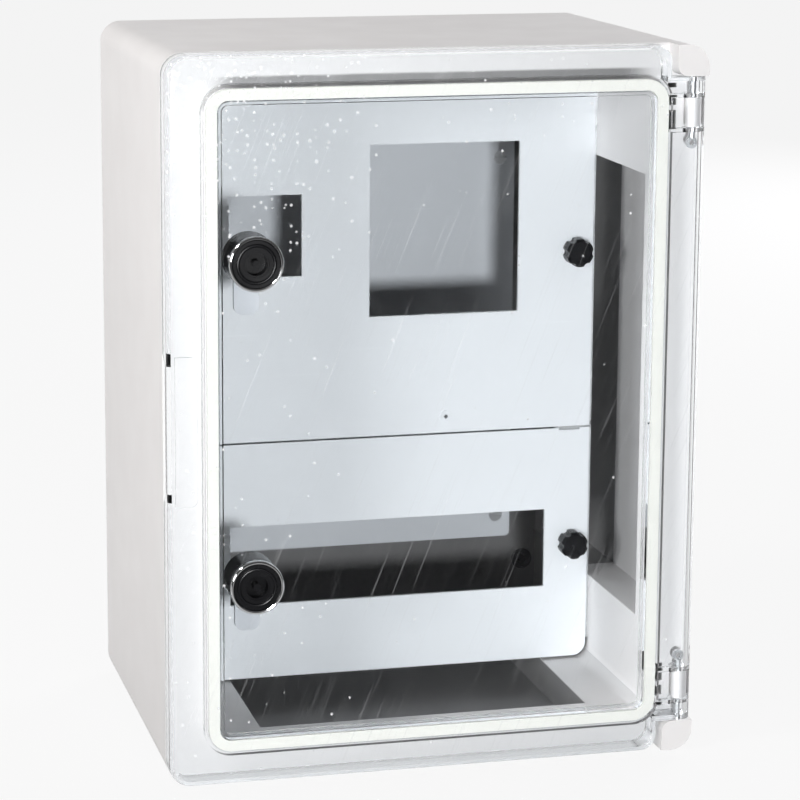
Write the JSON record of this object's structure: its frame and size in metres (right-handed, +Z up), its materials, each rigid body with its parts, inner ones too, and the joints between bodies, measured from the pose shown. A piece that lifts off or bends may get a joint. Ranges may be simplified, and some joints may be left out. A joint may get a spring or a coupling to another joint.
{
  "type": "electric meter box",
  "caption": "Wall box for an electric meter with a clear hinged door, turn locks and lift-out panels with windows for a meter and breakers.",
  "frame": {"origin": "centre of the wall face, on the plane that touches the wall", "axes": "+Z up, +Y into the wall, so the door faces -Y, and +X to the right seen from the front"},
  "size_m": [0.3, 0.2225, 0.4],
  "materials": {
    "housing_plastic": "pale grey-white moulded plastic, satin",
    "clear_cover": "clear moulded plastic, lightly scuffed",
    "gasket_foam": "cream foam",
    "panel_plastic": "light grey sheet plastic",
    "grey_plate": "plain grey paint",
    "black_plastic": "black moulded plastic",
    "bright_chrome": "bright",
    "zinc_steel": "zinc plated",
    "black_rubber": "matte black"
  },
  "bodies": {
    "enclosure": {"box_body": "housing_plastic", "upper_panel": "panel_plastic", "lower_panel": "panel_plastic", "mounting_plate": "grey_plate", "side_rail_left": "zinc_steel", "side_rail_right": "zinc_steel", "side_rail_screws": "zinc_steel", "mounting_plate_screws": "zinc_steel", "wall_hole_washers": "black_rubber", "hinge_pin_upper": "zinc_steel", "hinge_pin_lower": "zinc_steel"},
    "door": {"door_cover": "clear_cover", "door_gasket": "gasket_foam", "lock_housing_upper": "black_plastic", "lock_seal_upper": "black_rubber", "lock_bezel_upper": "bright_chrome", "lock_housing_lower": "black_plastic", "lock_seal_lower": "black_rubber", "lock_bezel_lower": "bright_chrome"},
    "lock_upper": {"lock_insert_upper": "black_plastic", "lock_cam_upper": "zinc_steel", "cam_screw_upper": "zinc_steel"},
    "lock_lower": {"lock_insert_lower": "black_plastic", "lock_cam_lower": "zinc_steel", "cam_screw_lower": "zinc_steel"},
    "knob_upper_left": {"panel_knob_upper_left": "black_plastic", "knob_latch_upper_left": "zinc_steel"},
    "knob_upper_right": {"panel_knob_upper_right": "black_plastic", "knob_latch_upper_right": "zinc_steel"},
    "knob_lower_left": {"panel_knob_lower_left": "black_plastic", "knob_latch_lower_left": "zinc_steel"},
    "knob_lower_right": {"panel_knob_lower_right": "black_plastic", "knob_latch_lower_right": "zinc_steel"}
  },
  "joints": [
    {"name": "door_hinge", "type": "hinge", "parent": "enclosure", "child": "door", "pos_m": [0.143, -0.213, 0], "axis": [0, 0, 1], "range_deg": [0, 105]},
    {"name": "lock_upper_turn", "type": "hinge", "parent": "door", "child": "lock_upper", "pos_m": [-0.1018, -0.2, 0.0886], "axis": [0, 1, 0], "range_deg": [0, 90]},
    {"name": "lock_lower_turn", "type": "hinge", "parent": "door", "child": "lock_lower", "pos_m": [-0.1018, -0.2, -0.0886], "axis": [0, 1, 0], "range_deg": [0, 90]},
    {"name": "knob_upper_left_turn", "type": "hinge", "parent": "enclosure", "child": "knob_upper_left", "pos_m": [-0.1114, -0.112, 0.0705], "axis": [0, 1, 0], "range_deg": [0, 90]},
    {"name": "knob_upper_right_turn", "type": "hinge", "parent": "enclosure", "child": "knob_upper_right", "pos_m": [0.1114, -0.112, 0.0705], "axis": [0, 1, 0], "range_deg": [0, 90]},
    {"name": "knob_lower_left_turn", "type": "hinge", "parent": "enclosure", "child": "knob_lower_left", "pos_m": [-0.1114, -0.112, -0.1052], "axis": [0, 1, 0], "range_deg": [0, 90]},
    {"name": "knob_lower_right_turn", "type": "hinge", "parent": "enclosure", "child": "knob_lower_right", "pos_m": [0.1114, -0.112, -0.1052], "axis": [0, 1, 0], "range_deg": [0, 90]}
  ]
}
